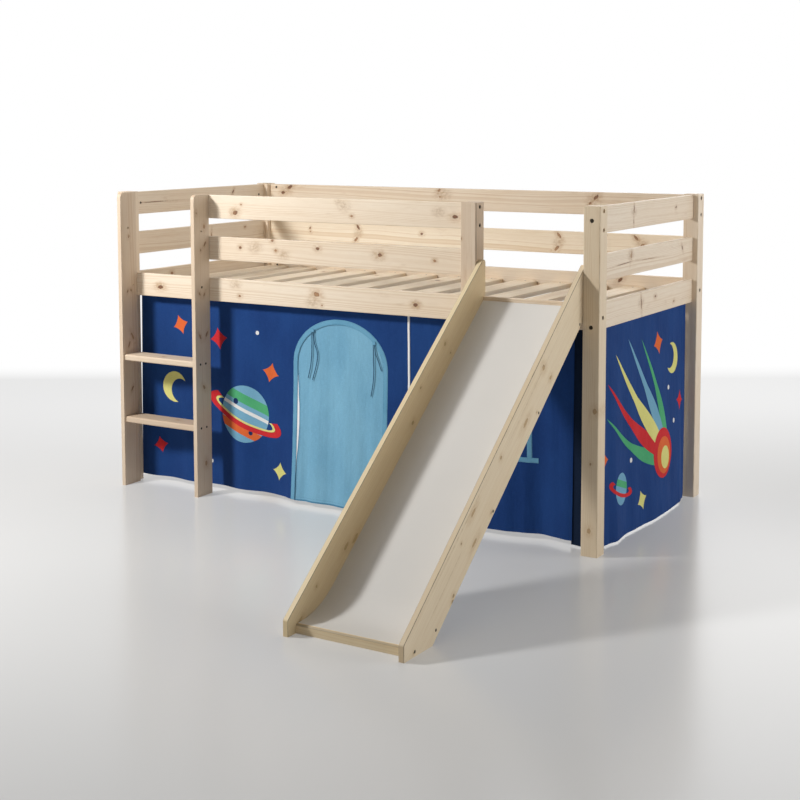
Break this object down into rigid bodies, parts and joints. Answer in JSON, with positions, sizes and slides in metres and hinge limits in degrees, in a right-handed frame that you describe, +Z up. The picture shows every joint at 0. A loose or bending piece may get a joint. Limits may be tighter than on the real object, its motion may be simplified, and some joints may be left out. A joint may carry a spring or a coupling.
{
  "type": "loft bed with slide",
  "caption": "Low pine loft bed with guard rails, a ladder at the left, a straight slide with a curved run-out at the right, and fabric play curtains with an arched door flap below.",
  "frame": {"origin": "on the floor, under the middle of the whole object's bounding box", "axes": "+X along the bed from the ladder end to the slide end, +Y from the slide's foot to the back of the bed, +Z up"},
  "size_m": [2.086, 2.1152, 1.17],
  "materials": {
    "pale_pine": "clear-lacquered pale pine, satin",
    "slide_laminate": "smooth white laminate",
    "blue_cloth": "plain woven cotton, dyed blue",
    "light_blue_cloth": "plain woven cotton, light blue",
    "light_blue_trim": "woven binding tape, light blue",
    "white_piping": "white cotton piping",
    "hook_tape": "dark hook-and-loop tape",
    "zinc_steel": "zinc-plated"
  },
  "bodies": {
    "bed": {"back_board_lower": "pale_pine", "back_board_middle": "pale_pine", "back_board_upper": "pale_pine", "barrel_nuts": "zinc_steel", "bolts": "zinc_steel", "curtain_end": "blue_cloth", "curtain_front_left": "blue_cloth", "curtain_front_right": "blue_cloth", "curtain_piping": "white_piping", "curtain_tapes": "hook_tape", "door_binding": "light_blue_trim", "door_top": "light_blue_cloth", "dowels": "pale_pine", "end_board_left_lower": "pale_pine", "end_board_left_middle": "pale_pine", "end_board_left_upper": "pale_pine", "end_board_right_lower": "pale_pine", "end_board_right_middle": "pale_pine", "end_board_right_upper": "pale_pine", "guard_post": "pale_pine", "guard_rail_middle": "pale_pine", "guard_rail_upper": "pale_pine", "ladder_step_lower": "pale_pine", "ladder_step_upper": "pale_pine", "ladder_stile_left": "pale_pine", "ladder_stile_right": "pale_pine", "post_back_left": "pale_pine", "post_back_right": "pale_pine", "post_front_left": "pale_pine", "post_front_right": "pale_pine", "side_rail_front": "pale_pine", "slat_01": "pale_pine", "slat_02": "pale_pine", "slat_03": "pale_pine", "slat_04": "pale_pine", "slat_05": "pale_pine", "slat_06": "pale_pine", "slat_07": "pale_pine", "slat_08": "pale_pine", "slat_09": "pale_pine", "slat_10": "pale_pine", "slat_11": "pale_pine", "slat_12": "pale_pine", "slat_13": "pale_pine", "slat_batten_back": "pale_pine", "slat_batten_front": "pale_pine", "slide_board_left": "pale_pine", "slide_board_right": "pale_pine", "slide_cross_bars": "pale_pine", "slide_foot_bar": "pale_pine", "slide_panel": "slide_laminate", "tie_left_long": "light_blue_trim", "tie_left_short": "light_blue_trim", "tie_right_long": "light_blue_trim", "tie_right_short": "light_blue_trim", "tie_tabs": "light_blue_trim", "window_trim": "light_blue_trim", "wood_screws": "zinc_steel"},
    "door_flap": {"door_flap": "light_blue_cloth"}
  },
  "joints": [
    {"name": "door_flap_swing", "type": "hinge", "parent": "bed", "child": "door_flap", "pos_m": [-0.023, 0.14582, 0.53], "axis": [1, 0, 0], "range_deg": [0, 80]}
  ]
}
